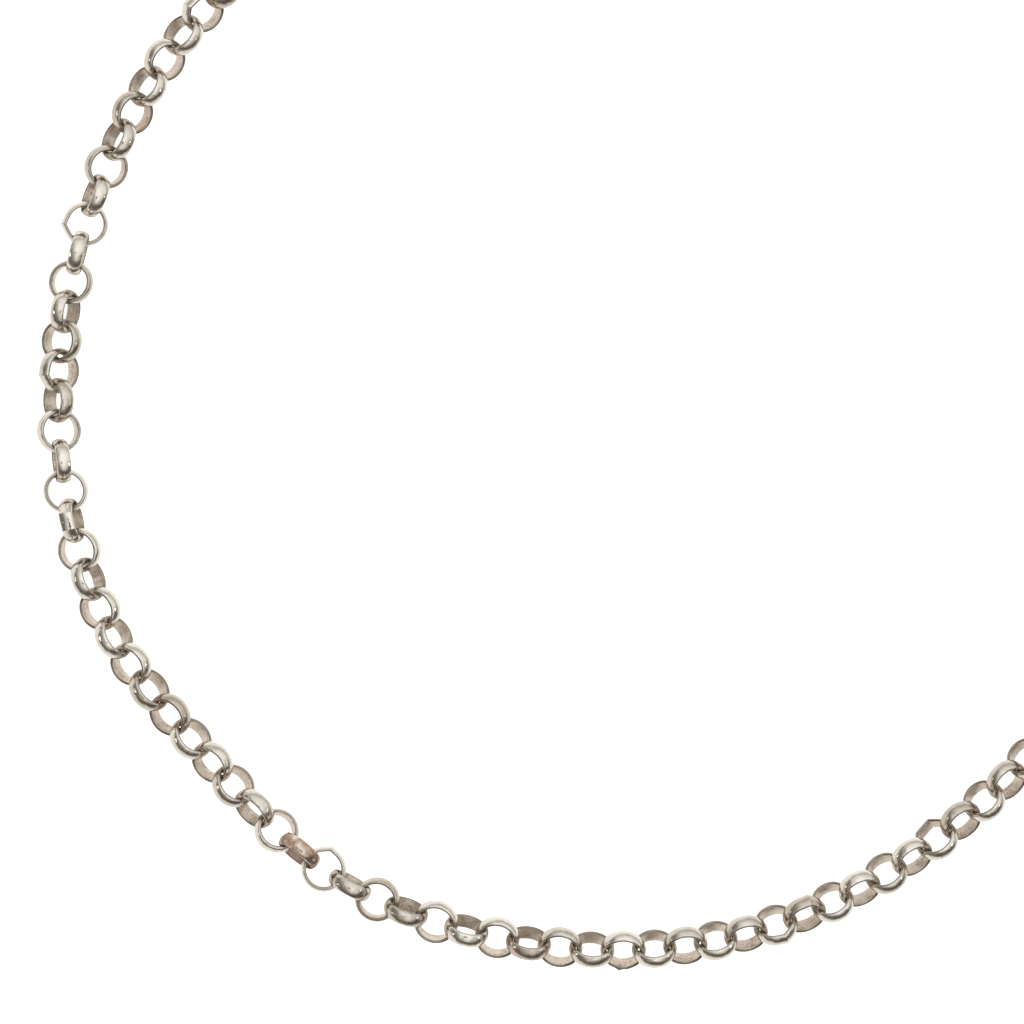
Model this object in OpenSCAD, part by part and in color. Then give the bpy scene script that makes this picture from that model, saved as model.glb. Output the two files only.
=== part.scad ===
// Rolo chain necklace: a closed loop of round links, each bent from a strip of half-round wire,
// with one plain ring clasp. It lies on a flat surface at Z = 0. X runs to the right and Y away,
// as seen from above, and the clasp is at the upper right.

/* [Links] */
// Outer diameter of a link
link_od = 5.7; // [5:0.1:6.4]
// Width of the half-round strip
strip_w = 1.8; // [1.4:0.05:1.9]
// Thickness of the strip at the top of its dome
strip_t = 0.6; // [0.5:0.02:0.66]
// Height of the strip's sides, below the dome
strip_side = 0.28; // [0.24:0.01:0.32]
// Bevel along the inner edges of the strip
strip_bevel = 0.18; // [0.12:0.01:0.2]
// Slack of one link in the next, along the chain
link_slack = 0.2; // [0.15:0.01:0.4]

/* [Lay] */
// Length of the closed necklace, with its clasp
necklace_length = 460; // [400:5:600]
// Most that a link leans or turns away from its regular place, in degrees
lay_wobble = 1.5; // [0:0.5:3]
// Seed of that lean and turn
lay_seed = 11; // [1:1:40]

/* [Clasp] */
// Outer diameter of the clasp's ring
clasp_od = 8; // [7:0.5:10]
// Thickness of the ring's wire
clasp_wire = 1.5; // [1.2:0.1:1.8]
// Bore of the small eye on the ring's tail
eye_bore = 2.4; // [2.2:0.1:3]
// Thickness of the eye's wire
eye_wire = 1.1; // [0.9:0.1:1.3]
// Diameter of the neck that joins the eye to the ring
neck_d = 1.8; // [1.4:0.1:2]
// Slack of an end link in the eye or the ring
clasp_slack = 0.3; // [0.2:0.05:0.5]

/* [Hidden] */

SILVER = [0.78, 0.75, 0.70];
ROUND = 96;
SPLINE_STEPS = 24;

// The strip's section: a dome over two short sides, seen from the link's axis
link_r = link_od / 2;
hole_r = link_r - strip_t;
side_r = hole_r + strip_side;
half_w = strip_w / 2;
dome_h = strip_t - strip_side;
dome_r = (half_w * half_w + dome_h * dome_h) / (2 * dome_h);
dome_centre = link_r - dome_r;
dome_angle = asin(half_w / dome_r);

// Links that cross at right angles touch at their bevels at this distance
grip_w = half_w - strip_bevel;
touch_pitch = 2 * sqrt(hole_r * hole_r - grip_w * grip_w);

// The chain's middle line, in mm: points chosen by hand along the loop, starting near the clasp
ROUTE = [
    [58.5, 56], [43, 67.5], [25, 74.5], [5, 76.5], [-14.5, 73], [-31, 65.5],
    [-45, 55.5], [-57, 42], [-65.5, 25.5], [-70, 6.5], [-69.5, -12.5], [-63.5, -31],
    [-51, -47], [-37, -60.5], [-20.5, -68], [-0.5, -71], [18.5, -68.5], [36, -60.5],
    [51.5, -48], [64, -32.5], [72, -15], [76, 4], [75.5, 23], [69.5, 40.5]
];
// Middle of the clasp, as a share of the loop ahead of the first point
CLASP_AT = -0.003;

// Roll of the chain about its own line: neighbours stand a quarter turn apart
// Columns: share of the links from the clasp, degrees that every second link leans, outer side up
ROLL = 1;
ROLLS = [
    [0.00, 45], [0.29, 45], [0.30, 43], [0.35, -2], [0.38, -44], [0.43, -105], [0.45, -123],
    [0.49, -129], [0.51, -135], [0.53, -154], [0.56, -188], [0.58, -199], [0.63, -217], [0.69, -228],
    [1.00, -225]
];

// Links that lie pushed together or pulled apart, as the photograph shows them
// Columns: share of the links from the clasp, pitches that a link is ahead of an even spacing
SLIDES = [
    [0.00, 0], [0.25, 0], [0.31, -0.075], [0.36, -0.155], [0.39, -0.19], [0.445, -0.185],
    [0.54, -0.01], [0.575, 0.005], [0.64, 0.12], [0.69, 0.04], [0.77, -0.25], [1.00, 0]
];

// Route: a closed smooth curve through the points, walked by its length

function spline_at(p, q, r, s, t) =
    0.5 * (2 * q + (r - p) * t + (2 * p - 5 * q + 4 * r - s) * t ^ 2 + (3 * q - p - 3 * r + s) * t ^ 3);

function spline_points(list) =
    let (count = len(list))
    [for (i = [0:count - 1], k = [0:SPLINE_STEPS - 1])
        spline_at(list[(i + count - 1) % count], list[i], list[(i + 1) % count],
                  list[(i + 2) % count], k / SPLINE_STEPS)];

function last(list) = list[len(list) - 1];

// Running totals of a list, from 0 to its whole sum
function running(list) =
    [for (i = 0, total = 0; i <= len(list); total = total + (i < len(list) ? list[i] : 0), i = i + 1) total];

curve = spline_points(ROUTE);
walked = running([for (i = [0:len(curve) - 1]) norm(curve[(i + 1) % len(curve)] - curve[i])]);
route_scale = necklace_length / last(walked);

function wrapped(s) = s - necklace_length * floor(s / necklace_length);

// Point of the route at the length s from its start
function route_point(s) =
    let (w = wrapped(s) / route_scale,
         k = step_at(w, 0, len(curve)),
         share = (w - walked[k]) / (walked[k + 1] - walked[k]))
    route_scale * (curve[k] + share * (curve[(k + 1) % len(curve)] - curve[k]));

// Number of the curve's step that holds the walked length w, found by halving
function step_at(w, low, high) =
    high - low <= 1
        ? low
        : let (middle = floor((low + high) / 2))
          walked[middle] <= w ? step_at(w, middle, high) : step_at(w, low, middle);

// Heading of the route there, in degrees
function heading(s) =
    let (way = route_point(s + link_r) - route_point(s - link_r))
    atan2(way.y, way.x);

// Clasp: its two ends, measured from the middle of its ring

clasp_ring_r = (clasp_od - clasp_wire) / 2;
clasp_hole_r = clasp_ring_r - clasp_wire / 2;
eye_r = (eye_bore + eye_wire) / 2;
eye_from_ring = clasp_od / 2 + eye_bore / 2 + eye_wire / 2;
ring_grip = sqrt(clasp_hole_r * clasp_hole_r - half_w * half_w) + hole_r - clasp_slack;
eye_grip = sqrt(eye_bore * eye_bore / 4 - half_w * half_w) + hole_r - clasp_slack;
clasp_span = ring_grip + eye_from_ring + eye_grip;

// Count and places of the links

// Two links draw in by this much where the chain rolls this many degrees between them
function draw_in(roll) = half_w * abs(roll) * PI / 180;

plain_draw = last(running([for (k = [1:len(ROLLS) - 1]) draw_in(ROLLS[k][ROLL] - ROLLS[k - 1][ROLL])]));
run_length = necklace_length - clasp_span;
// An even count, so that both end links stand square to the clasp
link_count = 2 * ceil(((run_length + plain_draw) / (touch_pitch - link_slack) + 1) / 2);
last_link = link_count - 1;
clasp_start = CLASP_AT * necklace_length;
chain_start = clasp_start + eye_grip + eye_from_ring / 2;

wobbles = rands(-lay_wobble, lay_wobble, 2 * link_count, lay_seed);
rolls = [for (i = [0:last_link]) lookup(i / last_link, ROLLS) + wobbles[2 * i]];
draws = running([for (i = [1:last_link]) draw_in(rolls[i] - rolls[i - 1])]);
pitch = (run_length + last(draws)) / last_link;

// A link's place along the route, its lean and its turn about the vertical
function station(i) = chain_start + (i + lookup(i / last_link, SLIDES)) * pitch - draws[i];
function lean(i) = rolls[i] - 90 * (i % 2);
function turn(i) = heading(station(i)) + wobbles[2 * i + 1];

// How far a link reaches from its centre in a direction that is this angle from its axis
function reach(angle) =
    let (across = abs(sin(angle)), along = abs(cos(angle)))
    atan2(along, across) <= dome_angle
        ? dome_centre * across + dome_r
        : side_r * across + half_w * along;

// A link rests on the surface, or hangs in a neighbour that does
function lift(i) = max(reach(lean(i)), reach(lean(i) + 90));

function axis_of(i) = [-sin(turn(i)) * sin(lean(i)), cos(turn(i)) * sin(lean(i)), cos(lean(i))];

centres = [for (i = [0:last_link]) route_point(station(i))];
reaches = [for (i = [0:last_link]) [reach(acos(axis_of(i).x)), reach(acos(axis_of(i).y))]];
box_low = [for (k = [0:1]) min([for (i = [0:last_link]) centres[i][k] - reaches[i][k]])];
box_high = [for (k = [0:1]) max([for (i = [0:last_link]) centres[i][k] + reaches[i][k]])];
middle = (box_low + box_high) / 2;

// Section of the strip, in the half plane right of the link's axis
module strip_section() {
    intersection() {
        translate([dome_centre, 0]) circle(r = dome_r, $fn = ROUND);
        polygon([
            [hole_r, half_w - strip_bevel], [hole_r + strip_bevel, half_w],
            [link_r, half_w], [link_r, -half_w],
            [hole_r + strip_bevel, -half_w], [hole_r, -half_w + strip_bevel]
        ]);
    }
}

module link(i) {
    translate([centres[i].x - middle.x, centres[i].y - middle.y, lift(i)])
        rotate([0, 0, turn(i)])
            rotate([-lean(i), 0, 0])
                rotate_extrude($fn = ROUND) strip_section();
}

module chain_left() {
    color(SILVER)
        for (i = [0:link_count / 2 - 1]) link(i);
}

module chain_right() {
    color(SILVER)
        for (i = [link_count / 2:last_link]) link(i);
}

module wire_ring(radius, wire) {
    rotate_extrude($fn = ROUND) translate([radius, 0]) circle(d = wire, $fn = ROUND / 2);
}

// The clasp leans until its ring touches the surface with its middle at the end links' height
module clasp() {
    height = (lift(0) + lift(last_link)) / 2;
    tilt = asin((height - clasp_wire / 2) / clasp_ring_r);
    place = route_point(clasp_start);
    color(SILVER)
        translate([place.x - middle.x, place.y - middle.y, height])
            rotate([0, 0, heading(clasp_start)])
                rotate([tilt, 0, 0]) {
                    translate([-eye_from_ring / 2, 0, 0]) wire_ring(clasp_ring_r, clasp_wire);
                    translate([eye_from_ring / 2, 0, 0]) wire_ring(eye_r, eye_wire);
                    translate([clasp_ring_r - eye_from_ring / 2, 0, 0])
                        rotate([0, 90, 0]) cylinder(d = neck_d, h = eye_from_ring - clasp_ring_r - eye_r, $fn = ROUND / 2);
                }
}

chain_left();
chain_right();
clasp();
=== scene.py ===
import math
import random

import bmesh
import bpy
from mathutils import Matrix, Vector, noise


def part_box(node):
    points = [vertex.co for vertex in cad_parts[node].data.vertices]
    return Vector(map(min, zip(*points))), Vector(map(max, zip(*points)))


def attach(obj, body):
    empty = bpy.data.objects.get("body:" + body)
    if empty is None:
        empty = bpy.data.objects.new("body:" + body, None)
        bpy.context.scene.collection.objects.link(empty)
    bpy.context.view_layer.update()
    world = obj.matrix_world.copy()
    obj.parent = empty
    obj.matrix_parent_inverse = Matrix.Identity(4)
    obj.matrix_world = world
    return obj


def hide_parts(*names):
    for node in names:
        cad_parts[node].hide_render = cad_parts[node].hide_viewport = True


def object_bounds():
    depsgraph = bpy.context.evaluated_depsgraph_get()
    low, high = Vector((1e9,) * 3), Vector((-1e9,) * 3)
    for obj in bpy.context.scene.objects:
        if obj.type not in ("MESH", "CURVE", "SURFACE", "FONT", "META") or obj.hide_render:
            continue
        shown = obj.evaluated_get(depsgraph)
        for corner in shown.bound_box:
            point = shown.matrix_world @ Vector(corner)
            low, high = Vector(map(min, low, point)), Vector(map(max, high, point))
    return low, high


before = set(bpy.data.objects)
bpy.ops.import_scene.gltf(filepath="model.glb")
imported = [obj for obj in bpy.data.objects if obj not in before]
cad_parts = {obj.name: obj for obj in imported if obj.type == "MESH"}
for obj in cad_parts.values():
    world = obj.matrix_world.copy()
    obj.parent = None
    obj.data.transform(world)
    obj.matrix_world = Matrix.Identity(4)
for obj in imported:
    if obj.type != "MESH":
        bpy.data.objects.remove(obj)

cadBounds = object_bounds()
mm = 0.001

# The photograph's frame: how large a pixel is, and the two edges of the loop that it shows
photo = {
    "sizePx": 1024,
    "mmPerPx": 0.1273,
    "leftEdgePx": 39.7,  # the loop's outer edge on the left
    "frontEdgePx": 968,  # and at the bottom
    "height": 600 * mm,  # camera above the surface
    "sensor": 36,
}


def photoPlace(pixel):  # where a pixel of the photograph lies, at the chain's own height
    low = Vector(cadBounds[0])
    side = (pixel[0] - photo["leftEdgePx"]) * photo["mmPerPx"] * mm
    away = (photo["frontEdgePx"] - pixel[1]) * photo["mmPerPx"] * mm
    return Vector((low.x + side, low.y + away, 0))


def addCamera():
    middle = photoPlace((photo["sizePx"] / 2, photo["sizePx"] / 2))
    width = photo["sizePx"] * photo["mmPerPx"] * mm
    data = bpy.data.cameras.new("camera")
    data.sensor_width = photo["sensor"]
    data.lens = photo["sensor"] * photo["height"] / width
    data.clip_start = 10 * mm
    camera = bpy.data.objects.new("camera", data)
    camera.location = (middle.x, middle.y, photo["height"])
    bpy.context.scene.collection.objects.link(camera)
    bpy.context.scene.camera = camera


class Shade:  # one socket of a node tree, so that shader maths reads as Python
    def __init__(self, tree, socket=None):
        self.tree = tree
        self.socket = socket

    def add(self, kind, settings=None, sockets=None, output=0):
        node = self.tree.nodes.new("ShaderNode" + kind)
        for name, value in (settings or {}).items():
            if name == "stops":
                fillRamp(node.color_ramp, value)
            else:
                setattr(node, name, value)
        for name, value in (sockets or {}).items():
            if isinstance(value, Shade):
                self.tree.links.new(value.socket, node.inputs[name])
            else:
                node.inputs[name].default_value = value
        return Shade(self.tree, node.outputs[output] if len(node.outputs) else None)

    def maths(self, operation, *values):
        return self.add("Math", {"operation": operation}, dict(enumerate(values)))

    def __add__(self, other):
        return self.maths("ADD", self, other)

    def __sub__(self, other):
        return self.maths("SUBTRACT", self, other)

    def __rsub__(self, other):
        return self.maths("SUBTRACT", other, self)

    def __mul__(self, other):
        return self.maths("MULTIPLY", self, other)

    def __pow__(self, other):
        return self.maths("POWER", self, other)

    __radd__ = __add__
    __rmul__ = __mul__

    def clamped(self):
        return self.add("Clamp", None, {"Value": self})

    def between(self, low, high):  # 0 below low, 1 above high, smooth between
        settings = {"interpolation_type": "SMOOTHSTEP"}
        return self.add("MapRange", settings, {"Value": self, "From Min": low, "From Max": high})

    def blend(self, first, second):  # colours, by this value
        settings = {"data_type": "RGBA"}
        return self.add("Mix", settings, {0: self, 6: first, 7: second}, output=2)


def fillRamp(ramp, stops):
    while len(ramp.elements) < len(stops):
        ramp.elements.new(1)
    for element, (position, colour) in zip(ramp.elements, stops):
        element.position = position
        element.color = colour


def rgb(red, green, blue):
    return (red, green, blue, 1)


silverLook = {
    "polished": rgb(0.91, 0.88, 0.83),
    "dull": rgb(0.70, 0.66, 0.60),  # worn grey on some links
    "inside": rgb(0.89, 0.805, 0.715),  # satin, slightly pink
    "blush": rgb(0.58, 0.43, 0.33),  # reddish brown film on a few links
    "grimeAndShade": rgb(0.40, 0.32, 0.25),  # brown film on the inner faces, and painted shade round each crossing
    # the darkest colour: tarnish and painted shade at crossings, the seam line, and painted shade along the
    # inner edges
    "tarnishAndShade": rgb(0.13, 0.09, 0.065),
    "domeRough": 0.09,
    "insideRough": 0.30,
    "insideMetal": 0.8,  # the satin inside also scatters some light
    "patchScale": 700,  # noise per metre
    "grainScale": 5200,
    "grainRough": 0.6,
    "streakScale": 450,
    "streakLines": 0.02,  # drawn lines along the strip, seen across its width
    "detail": 3.0,  # of all three kinds of noise
    "stainAndShadeShare": 0.75,  # how much of the brown stain and painted shade covers the metal where it is thickest
    "darkShare": 0.85,
    "seamShare": 0.15,
    "seamPower": 7,
    "bump": 0.02 * mm,
    "bumpStrength": 0.5,
}


def makeSilver(name):
    look = silverLook
    material = bpy.data.materials.new(name)
    material.use_nodes = True
    tree = material.node_tree
    tree.nodes.clear()
    s = Shade(tree)

    def attribute(layer):
        return s.add("Attribute", {"attribute_name": layer}, output=2)

    place = s.add("TexCoord", output=3)

    def noiseAt(scale, rough=0.5):
        sockets = {"Vector": place, "Scale": scale, "Detail": look["detail"], "Roughness": rough}
        return s.add("TexNoise", None, sockets)

    inner = attribute("inner")
    contact = attribute("contact")
    across = attribute("across")
    tone = attribute("tone")
    blush = attribute("blush")
    seam = attribute("seam")
    rim = attribute("rim")
    patches = noiseAt(look["patchScale"])
    grain = noiseAt(look["grainScale"], look["grainRough"])
    streaks = s.add("TexNoise", {"noise_dimensions": "4D"}, {
        "Vector": place,
        "W": across * look["streakLines"],
        "Scale": look["streakScale"],
        "Detail": look["detail"],
    })

    # Masks: worn grey patches, brown stain and painted shade round a crossing, its darker middle of tarnish
    # and painted shade, reddish film, the seam
    worn = (tone * 0.8 + patches * 0.6).between(0.55, 1.05)
    stainAndShade = (contact + (patches - 0.5) * 0.5).between(0.1, 0.9)
    dark = (contact + (grain - 0.5) * 0.5 + (patches - 0.5) * 0.5).between(0.5, 1.0)
    film = blush * patches.between(0.3, 0.6)
    line = seam ** look["seamPower"]

    colour = worn.blend(look["polished"], look["dull"])
    soiled = (streaks * 0.7 + patches * 0.6 + grain * 0.8).between(1.04, 1.30)
    inside = soiled.blend(look["inside"], look["grimeAndShade"])
    colour = inner.blend(colour, inside)
    colour = film.blend(colour, look["blush"])
    # Painted shade: crossings turn brown, partly stain and partly the shade between the links
    colour = (stainAndShade * look["stainAndShadeShare"]).blend(colour, look["grimeAndShade"])
    # Darkest: tarnish and painted shade in the middle of a crossing, the seam line, and the painted shade
    # line along each inner edge
    deepest = dark * look["darkShare"] + line * look["seamShare"] + rim
    colour = deepest.clamped().blend(colour, look["tarnishAndShade"])

    rough = look["domeRough"] + worn * 0.07 + (grain - 0.5) * 0.05
    rough = rough + inner * (look["insideRough"] - look["domeRough"])
    rough = rough + stainAndShade * 0.18 + dark * 0.15 + film * 0.12

    # Height of the surface: lines along the strip, pits, the seam, and broad dents
    pits = grain.between(0.56, 0.70) * (0.2 + inner * 2.3)
    relief = streaks * (0.25 + inner * 1.6) - pits - line * 0.2 + patches * 13.0
    normal = s.add("Bump", None, {
        "Strength": look["bumpStrength"], "Distance": look["bump"], "Height": relief,
    })

    shader = s.add("BsdfPrincipled", None, {
        "Base Color": colour,
        "Metallic": 1 - inner * (1 - look["insideMetal"]),
        "Roughness": rough.clamped(),
        "Normal": normal,
    })
    s.add("OutputMaterial", None, {"Surface": shader})
    return material


# The chain: numbers of links are counted from the clasp's eye along the loop
chain = {
    "around": 64,  # faces round a link
    "domeSteps": 10,
    "thickness": 0.64 * mm,
    "side": 0.34 * mm,
    "innerRound": 0.14 * mm,
    "outerRound": 0.12 * mm,
    "roundSteps": 3,
    "wave": 0.018 * mm,  # hand-made unevenness
    "waveScale": 420,
    "oval": 0.012,
    "gap": 0.032 * mm,  # links are drawn a little shorter or longer, so that they nearly touch
    "gapAtCorners": 3,  # times as much beside a link with soldered corners
    "gripRounding": 0.35,  # share of the inner rounding that lies outside the place that would touch
    "endFrom": 0.6,  # a link's ends, by the cosine of the angle from the chain's way
    "endFull": 0.93,
    "stainAndShadeInside": (0.72, 0.94),  # where the stain and painted shade begin and are full, by the same cosine
    "stainAndShadeOutside": (0.84, 0.98),
    "stainAndShadeOutsideShare": 0.75,
    "satinFrom": 0.05 * mm,  # depth over the flat inside at which the satin ends
    "satinFull": 0.01 * mm,
    "rimLine": 0.045 * mm,  # depth of the middle of a painted dark line of shade along each inner edge
    "rimLineFrom": 0.044 * mm,  # distances from its middle at which it begins and is full
    "rimLineFull": 0.03 * mm,
    "rimBand": (0.04 * mm, 0.06 * mm, 0.22 * mm, 0.34 * mm),  # depths of a fainter painted band of shade beside it
    "seamWander": 38,  # most degrees that a chance seam lies off the side of its link
    "faintCorner": (2, 9),  # half angle of the corner at such a seam, in degrees
    "blushFrom": 0.86,  # the tone above which a link is a little blushed
    "blushShare": 0.25,
    "nubReach": (0.22, 0.02),  # radians from the seam at which a nub begins and is full
    "creaseFrom": 15,  # corners at least this steep are creased, in degrees
    "seed": 23,
}

# Links whose soldered seam was left as a corner. They count from the first link that the photograph
# shows, and each corner has its angle from the seam and its half angle, both in degrees
firstShown = 30
kinks = [
    {"link": 0, "pixel": (185, 7), "corners": [(0, 22)]},
    {"link": 8, "pixel": (66, 225), "corners": [(0, 27)]},
    {"link": 9, "pixel": (70, 252), "corners": [(0, 14)]},
    {"link": 13, "pixel": (41, 377), "corners": [(0, 22)]},
    {"link": 18, "pixel": (74, 512), "corners": [(0, 24), (45, 18)]},
    {"link": 31, "pixel": (296, 843), "corners": [(0, 25), (-45, 18)], "blush": 1.0},
    {"link": 32, "pixel": (330, 853), "corners": [(0, 23)]},
    {"link": 42, "pixel": (617, 972), "corners": [(0, 20), (22.5, 16)], "nub": 0.12 * mm},
    {"link": 47, "pixel": (788, 942), "corners": [(0, 23)]},
    {"link": 48, "pixel": (807, 893), "corners": [(0, 22)]},
    {"link": 53, "pixel": (929, 820), "corners": [(0, 28), (50.625, 20)]},
]


def islands(nodeName):  # the loose links of a node, as lists of points
    bm = bmesh.new()
    bm.from_mesh(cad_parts[nodeName].data)
    bmesh.ops.remove_doubles(bm, verts=bm.verts, dist=0.001 * mm)
    met = set()
    found = []
    for start in bm.verts:
        if start in met:
            continue
        met.add(start)
        group = [start]
        for vert in group:  # the list grows while it is walked
            for edge in vert.link_edges:
                other = edge.other_vert(vert)
                if other not in met:
                    met.add(other)
                    group.append(other)
        found.append([vert.co.copy() for vert in group])
    bm.free()
    return found


def spreadWay(points, centre, least=True):  # the direction in which the points spread least, or most
    spread = Matrix(((0, 0, 0), (0, 0, 0), (0, 0, 0)))
    for point in points:
        arm = (point - centre) / mm
        for row in range(3):
            for column in range(3):
                spread[row][column] += arm[row] * arm[column]
    if least:
        spread.invert()
    axis = Vector((0.3, 0.5, 0.8))  # any start that is square to no link's axis
    for step in range(60):
        axis = (spread @ axis).normalized()
    return axis


def measureLinks():  # each link's centre, axis and size, in order along the chain
    links = []
    for nodeName in ("chain_left", "chain_right"):
        for points in islands(nodeName):
            low = [min(point[k] for point in points) for k in range(3)]
            high = [max(point[k] for point in points) for k in range(3)]
            centre = (Vector(low) + Vector(high)) / 2
            axis = spreadWay(points, centre)
            arms = [point - centre for point in points]
            across = [(arm - axis * arm.dot(axis)).length for arm in arms]
            links.append({
                "node": nodeName,
                "centre": centre,
                "axis": axis,
                "outer": max(across),
                "inner": min(across),
                "width": 2 * max(abs(arm.dot(axis)) for arm in arms),
            })
    low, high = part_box("clasp")
    clasp = (low + high) / 2
    start = [link for link in links if link["node"] == "chain_left"]
    walk = [min(start, key=lambda link: (link["centre"] - clasp).length)]
    rest = [link for link in links if link is not walk[0]]
    while rest:
        nearest = min(rest, key=lambda link: (link["centre"] - walk[-1]["centre"]).length)
        rest.remove(nearest)
        walk.append(nearest)
    return walk


def makeLinkMesh(link):  # one link about its own axis, its seam at +X
    outer = link["outer"]
    half = link["width"] / 2
    hole = outer - chain["thickness"]
    rise = chain["thickness"] - chain["side"]
    domeRadius = (half * half + rise * rise) / (2 * rise)
    domeAngle = math.asin(half / domeRadius)
    bm = bmesh.new()
    inner = bm.verts.layers.float.new("inner")
    across = bm.verts.layers.float.new("across")
    rim = bm.verts.layers.float.new("rim")
    for layer in ("contact", "tone", "blush", "seam", "crease"):
        bm.verts.layers.float.new(layer)
    edge = bm.verts.new((hole + chain["side"], 0, -half))
    bmesh.ops.spin(bm, geom=[edge], cent=(outer - domeRadius, 0, 0), axis=(0, -1, 0),
                   angle=2 * domeAngle, steps=chain["domeSteps"])
    bm.verts.ensure_lookup_table()
    first = min(bm.verts, key=lambda vert: vert.co.z)
    last = max(bm.verts, key=lambda vert: vert.co.z)
    corners = [bm.verts.new((hole, 0, side * half)) for side in (-1, 0, 1)]
    outline = [first] + corners + [last]
    for pair in zip(outline, outline[1:]):
        bm.edges.new(pair)
    bmesh.ops.spin(bm, geom=list(bm.verts) + list(bm.edges), cent=(0, 0, 0), axis=(0, 0, 1),
                   angle=2 * math.pi, steps=chain["around"], use_merge=True)
    bmesh.ops.remove_doubles(bm, verts=bm.verts, dist=0.0005 * mm)
    bmesh.ops.recalc_face_normals(bm, faces=bm.faces)
    roundEdges(bm, hole + chain["side"], half, chain["outerRound"])
    roundEdges(bm, hole, half, chain["innerRound"])
    bmesh.ops.remove_doubles(bm, verts=bm.verts, dist=0.002 * mm)
    bmesh.ops.recalc_face_normals(bm, faces=bm.faces)
    near, nearFull, farFull, far = chain["rimBand"]
    for vert in bm.verts:
        depth = vert.co.xy.length - hole
        vert[inner] = fade(depth, chain["satinFrom"], chain["satinFull"])
        line = fade(abs(depth - chain["rimLine"]), chain["rimLineFrom"], chain["rimLineFull"])
        band = fade(depth, near, nearFull) * fade(depth, far, farFull)
        # Painted shade along each inner edge: a dark line and a fainter band
        vert[rim] = max(0.7 * line, 0.5 * band)
        vert[across] = vert.co.z / half
    mesh = bpy.data.meshes.new("link")
    bm.to_mesh(mesh)
    bm.free()
    return mesh


def roundEdges(bm, radius, height, size):  # rounds the two circular edges at this radius
    near = 0.004 * mm

    def onCircle(vert):
        return abs(vert.co.xy.length - radius) < near and abs(abs(vert.co.z) - height) < near

    chosen = [edge for edge in bm.edges if all(onCircle(vert) for vert in edge.verts)]
    bmesh.ops.bevel(bm, geom=chosen, offset=size, offset_type="OFFSET", affect="EDGES",
                    segments=chain["roundSteps"], profile=0.5, material=-1, clamp_overlap=True)


def seamArm(link, forward, draw):  # the direction from a link's centre to its seam
    side = link["axis"].cross(forward)
    if "pixel" in link:
        target = photoPlace(link["pixel"])
        best = None
        for step in range(chain["around"] * 2):
            angle = math.pi * step / chain["around"]
            arm = forward * math.cos(angle) + side * math.sin(angle)
            point = link["centre"] + arm * link["outer"]
            miss = (point.xy - target.xy).length - 0.15 * point.z  # of two places the upper one shows
            if best is None or miss < best[0]:
                best = (miss, arm)
        return best[1]
    angle = 90 * draw.choice((-1, 1)) + draw.uniform(-chain["seamWander"], chain["seamWander"])
    angle = math.radians(angle)
    return forward * math.cos(angle) + side * math.sin(angle)


def fade(value, low, high):
    return min(1.0, max(0.0, (value - low) / (high - low)))


def cornerPush(angle, corners):  # a corner leaves the round and meets in a point outside it
    push = 0.0
    for centre, half in corners:
        gap = abs((angle - math.radians(centre) + math.pi) % (2 * math.pi) - math.pi)
        half = math.radians(half)
        if gap < half:
            push = max(push, 1 / math.cos(half - gap) - 1)
    return push


def spareRoom(link, neighbour):  # how far a link's end comes in, so that it nearly meets its neighbour
    if neighbour is link:
        return 0
    way = neighbour["centre"] - link["centre"]
    hole = link["outer"] - chain["thickness"]
    corner = link["width"] / 2 - chain["innerRound"] * chain["gripRounding"]
    lean = abs(link["axis"].dot(neighbour["axis"]))
    skew = sum(abs(one["axis"].dot(way.normalized())) for one in (link, neighbour))
    touching = 2 * math.sqrt(hole ** 2 - (corner * (1 + lean)) ** 2) - corner * skew
    cornered = "corners" in link or "corners" in neighbour
    room = chain["gap"] * (chain["gapAtCorners"] if cornered else 1)
    return (touching - way.length - room) / 2


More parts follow.
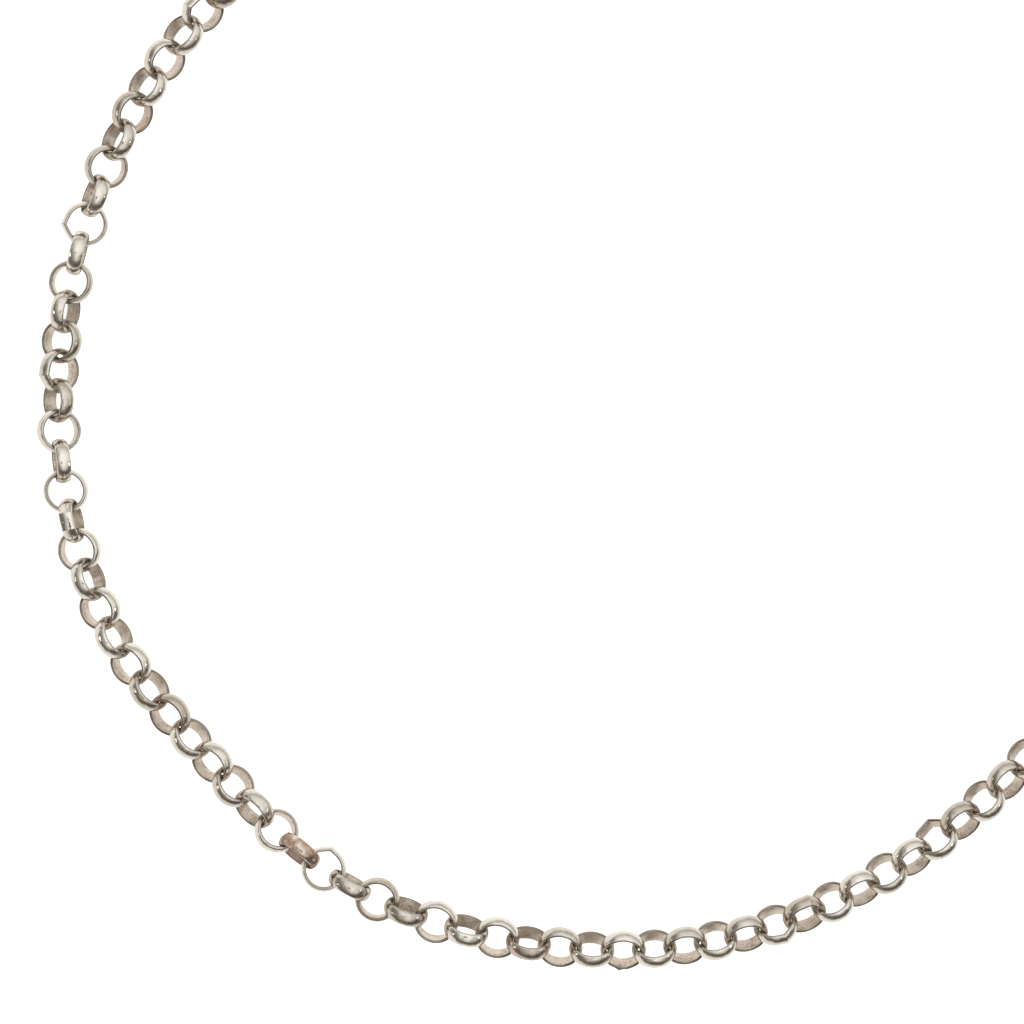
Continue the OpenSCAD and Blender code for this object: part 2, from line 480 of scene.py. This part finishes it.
def addLink(bm, mesh, link, draw):
    start = len(bm.verts)
    bm.from_mesh(mesh)
    bm.verts.ensure_lookup_table()
    fresh = bm.verts[start:]
    layers = {layer.name: layer for layer in bm.verts.layers.float.values()}
    seamDirection = seamArm(link, link["forward"], draw)
    across = link["axis"].cross(seamDirection)
    turn = Matrix((seamDirection, across, link["axis"])).transposed().to_4x4()
    place = Matrix.Translation(link["centre"]) @ turn
    gripAngle = math.atan2(link["forward"].dot(across), link["forward"].dot(seamDirection))
    corners = link.get("corners", [(0, draw.uniform(*chain["faintCorner"]))])
    nub = link.get("nub", 0)
    tone = draw.random()
    ovalTurn = draw.uniform(0, math.pi)
    offset = Vector((draw.uniform(-9, 9), draw.uniform(-9, 9), draw.uniform(-9, 9)))
    faceAngle = 2 * math.pi / chain["around"]
    for vert in fresh:
        angle = math.atan2(vert.co.y, vert.co.x)
        radius = vert.co.xy.length
        along = math.cos(angle - gripAngle)
        uneven = noise.noise(vert.co * chain["waveScale"] + offset) * chain["wave"]
        uneven += math.cos(2 * (angle - ovalTurn)) * chain["oval"] * radius * 0.5
        push = cornerPush(angle, corners) * radius
        push += uneven * fade(abs(along), chain["endFull"], chain["endFrom"])
        push -= link["spareAhead"] * fade(along, chain["endFrom"], chain["endFull"])
        push -= link["spareBehind"] * fade(-along, chain["endFrom"], chain["endFull"])
        push += nub * (1 - vert[layers["inner"]]) * fade(abs(angle), *chain["nubReach"])
        vert.co.x += push * math.cos(angle)
        vert.co.y += push * math.sin(angle)
        inside = vert[layers["inner"]]
        # Where neighbours cross: stain and painted shade, on the inner faces and the outer
        stainAndShadeOutside = fade(abs(along), *chain["stainAndShadeOutside"]) * chain["stainAndShadeOutsideShare"]
        stainAndShadeInside = fade(abs(along), *chain["stainAndShadeInside"])
        vert[layers["contact"]] = stainAndShadeInside * inside + stainAndShadeOutside * (1 - inside)
        vert[layers["tone"]] = tone
        vert[layers["blush"]] = link.get("blush", chain["blushShare"] if tone > chain["blushFrom"] else 0.0)
        vert[layers["seam"]] = max(0.0, 1 - abs(angle) / faceAngle)
        for centre, half in corners:
            if half > chain["creaseFrom"] and abs(angle - math.radians(centre)) < 0.3 * faceAngle:
                vert[layers["crease"]] = 1.0
    for vert in fresh:
        for edge in vert.link_edges:
            if vert[layers["crease"]] > 0.5 and edge.other_vert(vert)[layers["crease"]] > 0.5:
                edge.smooth = False
    bmesh.ops.transform(bm, matrix=place, verts=fresh)
    lowest = min(vert.co.z for vert in fresh)
    if lowest < 0:  # the link rests on its corner
        bmesh.ops.translate(bm, vec=(0, 0, -lowest), verts=fresh)


def finishPiece(bm, name, material, nodes):
    mesh = bpy.data.meshes.new(name)
    bm.to_mesh(mesh)
    bm.free()
    mesh.materials.append(material)
    mesh.shade_smooth()
    piece = bpy.data.objects.new(name, mesh)
    bpy.context.scene.collection.objects.link(piece)
    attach(piece, "root")
    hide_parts(*nodes)
    return piece


def buildChain(material):
    links = measureLinks()
    print("links found:", len(links), "outer", round(links[0]["outer"] / mm, 3),
          "inner", round(links[0]["inner"] / mm, 3), "width", round(links[0]["width"] / mm, 3))
    for kink in kinks:
        links[firstShown + kink["link"]].update(
            {key: value for key, value in kink.items() if key != "link"})
    for number, link in enumerate(links):
        before = links[max(number - 1, 0)]
        after = links[min(number + 1, len(links) - 1)]
        forward = after["centre"] - before["centre"]
        link["forward"] = (forward - link["axis"] * forward.dot(link["axis"])).normalized()
        link["spareAhead"] = spareRoom(link, after)
        link["spareBehind"] = spareRoom(link, before)
    mesh = makeLinkMesh(links[0])
    draw = random.Random(chain["seed"])
    for nodeName, pieceName in (("chain_left", "links_left"), ("chain_right", "links_right")):
        bm = bmesh.new()
        bm.from_mesh(mesh)
        bm.clear()
        for link in links:
            if link["node"] == nodeName:
                addLink(bm, mesh, link, draw)
        print(pieceName, "triangles:", sum(len(face.verts) - 2 for face in bm.faces))
        piece = finishPiece(bm, pieceName, material, [nodeName])
        weighted = piece.modifiers.new("weighted", "WEIGHTED_NORMAL")
        weighted.keep_sharp = True
    bpy.data.meshes.remove(mesh)
    return links


# The clasp is outside the photograph: one plain ring, its neck and its eye
clasp = {
    "ring": 3.25 * mm,  # to the middle of the wire
    "ringWire": 1.5 * mm,
    "eye": 1.75 * mm,
    "eyeWire": 1.1 * mm,
    "neck": 1.8 * mm,
    "neckTaper": 0.84,  # its width at the eye, as a share of that at the ring
    "between": 5.75 * mm,  # middle of the ring to middle of the eye
    "around": 72,
    "wireSteps": 20,
    "neckSteps": 32,
    "voxel": 0.08 * mm,  # the three are merged, then smoothed into each other
    "blend": 10,
}


def addWireRing(bm, middle, radius, wire):
    turn = Matrix.Translation((middle + radius, 0, 0)) @ Matrix.Rotation(math.pi / 2, 4, "X")
    made = bmesh.ops.create_circle(bm, segments=clasp["wireSteps"], radius=wire / 2, matrix=turn)
    loop = [edge for edge in bm.edges if all(vert in made["verts"] for vert in edge.verts)]
    bmesh.ops.spin(bm, geom=made["verts"] + loop, cent=(middle, 0, 0), axis=(0, 0, 1),
                   angle=2 * math.pi, steps=clasp["around"], use_merge=True)


def spanAlong(points, way):  # lowest and highest place of the points along a direction
    places = [point.dot(way) for point in points]
    return min(places), max(places)


def buildClasp(material, links):
    points = islands("clasp")[0]
    middle = sum(points, Vector()) / len(points)
    up = spreadWay(points, middle)
    eyeWay = spreadWay(points, middle, least=False)
    if (links[0]["centre"] - links[-1]["centre"]).dot(eyeWay) < 0:
        eyeWay = -eyeWay
    side = up.cross(eyeWay)
    ringEnd = spanAlong(points, eyeWay)[0]
    centre = eyeWay * (ringEnd + clasp["ring"] + clasp["ringWire"] / 2)
    centre += side * sum(spanAlong(points, side)) / 2 + up * sum(spanAlong(points, up)) / 2

    bm = bmesh.new()
    addWireRing(bm, 0, clasp["ring"], clasp["ringWire"])
    addWireRing(bm, clasp["between"], clasp["eye"], clasp["eyeWire"])
    reach = clasp["between"] - clasp["eye"] - clasp["ring"]
    turn = Matrix.Translation((clasp["ring"] + reach / 2, 0, 0)) @ Matrix.Rotation(math.pi / 2, 4, "Y")
    bmesh.ops.create_cone(bm, cap_ends=True, segments=clasp["neckSteps"], radius1=clasp["neck"] / 2,
                          radius2=clasp["neck"] / 2 * clasp["neckTaper"], depth=reach, matrix=turn)
    bmesh.ops.recalc_face_normals(bm, faces=bm.faces)
    place = Matrix((eyeWay, side, up)).transposed().to_4x4()
    bmesh.ops.transform(bm, matrix=Matrix.Translation(centre) @ place, verts=bm.verts)
    piece = finishPiece(bm, "clasp_ring", material, ["clasp"])
    merge = piece.modifiers.new("merge", "REMESH")
    merge.mode = "VOXEL"
    merge.voxel_size = clasp["voxel"]
    merge.use_smooth_shade = True
    blend = piece.modifiers.new("blend", "SMOOTH")
    blend.factor = 0.5
    blend.iterations = clasp["blend"]


floorLook = {
    "size": 6.0,
    "drop": 0.02 * mm,
    "paper": rgb(1, 1, 1),
    "glow": 0.85,
}


def addFloor():  # in the metal's mirror image the studio's own lower half stands for it
    bm = bmesh.new()
    bmesh.ops.create_grid(bm, x_segments=1, y_segments=1, size=floorLook["size"] / 2)
    bmesh.ops.translate(bm, vec=(0, 0, -floorLook["drop"]), verts=bm.verts)
    mesh = bpy.data.meshes.new("floor")
    bm.to_mesh(mesh)
    bm.free()
    material = bpy.data.materials.new("floorPaper")
    material.use_nodes = True
    material.node_tree.nodes.clear()
    s = Shade(material.node_tree)
    shader = s.add("BsdfPrincipled", None, {
        "Base Color": floorLook["paper"], "Roughness": 0.9, "Specular IOR Level": 0.0,
        "Emission Color": floorLook["paper"], "Emission Strength": floorLook["glow"],
    })
    s.add("OutputMaterial", None, {"Surface": shader})
    mesh.materials.append(material)
    floor = bpy.data.objects.new("floor", mesh)
    floor.visible_glossy = False
    bpy.context.scene.collection.objects.link(floor)


# The studio as the silver mirrors it
studio = {
    "bands": [  # elevation in degrees, then the colour towards the front and towards the back
        (-90, (0.94, 0.90, 0.82), (0.94, 0.90, 0.82)),
        (-40, (0.86, 0.83, 0.78), (1.00, 0.97, 0.92)),
        (-13, (0.76, 0.73, 0.68), (0.92, 0.89, 0.84)),
        (0, (0.29, 0.26, 0.22), (0.60, 0.57, 0.52)),
        (8, (0.15, 0.127, 0.108), (0.46, 0.44, 0.40)),
        (16, (0.11, 0.092, 0.08), (0.56, 0.54, 0.50)),
        (28, (0.11, 0.093, 0.08), (0.74, 0.715, 0.67)),
        (38, (0.27, 0.25, 0.22), (0.84, 0.815, 0.77)),
        (48, (0.68, 0.655, 0.61), (0.92, 0.90, 0.85)),
        (64, (1.0, 0.98, 0.93), (1.03, 1.01, 0.96)),
        (90, (1.04, 1.02, 0.97), (1.04, 1.02, 0.97)),
    ],
    "spot": rgb(0.06, 0.05, 0.045),  # the dark camera above, a little to the front
    "spotPlace": (0, -0.16, 0.987),
    "spotEdge": (0.10, 0.20),
    "flank": rgb(0.15, 0.138, 0.12),  # a dark screen on the left
    "stand": rgb(0.16, 0.16, 0.15),  # and a small dark shape beside it, at the back left
    "standPlace": (-0.72, 0.64, 0.27),
    "standEdge": (0.02, 0.045),  # squares of its distance, with the height counted twice
    "uneven": 9,  # degrees that the bands wander
    "unevenScale": 2.2,
    "slant": 17,  # degrees that the bands stand higher on the left and lower on the right
    "haze": rgb(0.27, 0.245, 0.21),  # a grey wall high on the left
    "tray": rgb(0.86, 0.81, 0.745),  # bright paper low on the left
    "backdrop": rgb(0.96, 0.96, 0.955),
}


def addStudio():
    world = bpy.data.worlds.new("studio")
    bpy.context.scene.world = world
    world.use_nodes = True
    world.node_tree.nodes.clear()
    s = Shade(world.node_tree)
    direction = s.add("TexCoord", output=0)
    x = s.add("SeparateXYZ", None, {"Vector": direction}, output=0)
    y = s.add("SeparateXYZ", None, {"Vector": direction}, output=1)
    z = s.add("SeparateXYZ", None, {"Vector": direction}, output=2)
    wander = s.add("TexNoise", None, {
        "Vector": direction, "Scale": studio["unevenScale"], "Detail": 3.0, "Roughness": 0.6,
    }) - 0.5
    level = s.maths("ARCSINE", z) * (1 / math.pi) + 0.5
    away = (1 - z * z).clamped()
    level = level + wander * away * (2 * studio["uneven"] / 180)
    level = level + x * away * (studio["slant"] / 180)
    tones = []
    for side in (1, 2):
        stops = [((band[0] + 90) / 180, rgb(*band[side])) for band in studio["bands"]]
        tones.append(s.add("ValToRGB", {"stops": stops}, {"Fac": level}))
    back = (y + x * 0.35 + wander * 0.8).between(-0.1, 0.7)
    colour = back.blend(tones[0], tones[1])
    leftWay = wander * 0.6 - x * 0.88 - y * 0.47
    tray = (leftWay + y * 0.4).between(0.1, 0.8) * (1 - z.between(-0.35, 0.05))
    colour = tray.blend(colour, studio["tray"])
    hazeWay = wander * 0.6 - x * 0.97 - y * 0.25
    haze = hazeWay.between(0.0, 0.75) * z.between(0.35, 0.62) * (1 - z.between(0.96, 1.0)) * 0.9
    colour = haze.blend(colour, studio["haze"])
    flank = leftWay.between(0.62, 0.88) * z.between(0.16, 0.34) * (1 - z.between(0.60, 0.78))
    colour = flank.blend(colour, studio["flank"])
    gaps = [axis - centre for axis, centre in zip((x, y, z), studio["standPlace"])]
    stand = gaps[0] * gaps[0] + gaps[1] * gaps[1] + gaps[2] * gaps[2] * 4 + wander * 0.15
    colour = stand.between(*studio["standEdge"]).blend(studio["stand"], colour)
    spot = s.add("VectorMath", {"operation": "DISTANCE"}, {0: direction, 1: studio["spotPlace"]}, output=1)
    colour = spot.between(*studio["spotEdge"]).blend(studio["spot"], colour)
    seen = s.add("LightPath")  # only the camera sees the plain backdrop
    colour = seen.blend(colour, studio["backdrop"])
    background = s.add("Background", None, {"Color": colour, "Strength": 1.0})
    s.add("OutputWorld", None, {"Surface": background})


# Two small lamps far to the sides, which leave the points of light on the domes
lamps = {
    "places": {"lampRight": (0.64, -0.16, 0.26), "lampLeft": (-0.64, -0.06, 0.26)},
    "size": 0.12,
    "power": 0.08,
    "colour": (1.0, 0.98, 0.95),
}


def addLamps():
    for name, place in lamps["places"].items():
        data = bpy.data.lights.new(name, "AREA")
        data.size = lamps["size"]
        data.energy = lamps["power"]
        data.color = lamps["colour"]
        lamp = bpy.data.objects.new(name, data)
        lamp.location = place
        lamp.rotation_euler = (Vector(place) * -1).to_track_quat("-Z", "Y").to_euler()
        bpy.context.scene.collection.objects.link(lamp)


addCamera()
addStudio()
addLamps()
print("studio ready")

silver = makeSilver("silver")
links = buildChain(silver)
buildClasp(silver, links)
addFloor()
print("chain ready")

scene = bpy.context.scene
scene.view_settings.view_transform = "Standard"
scene.view_settings.look = "None"
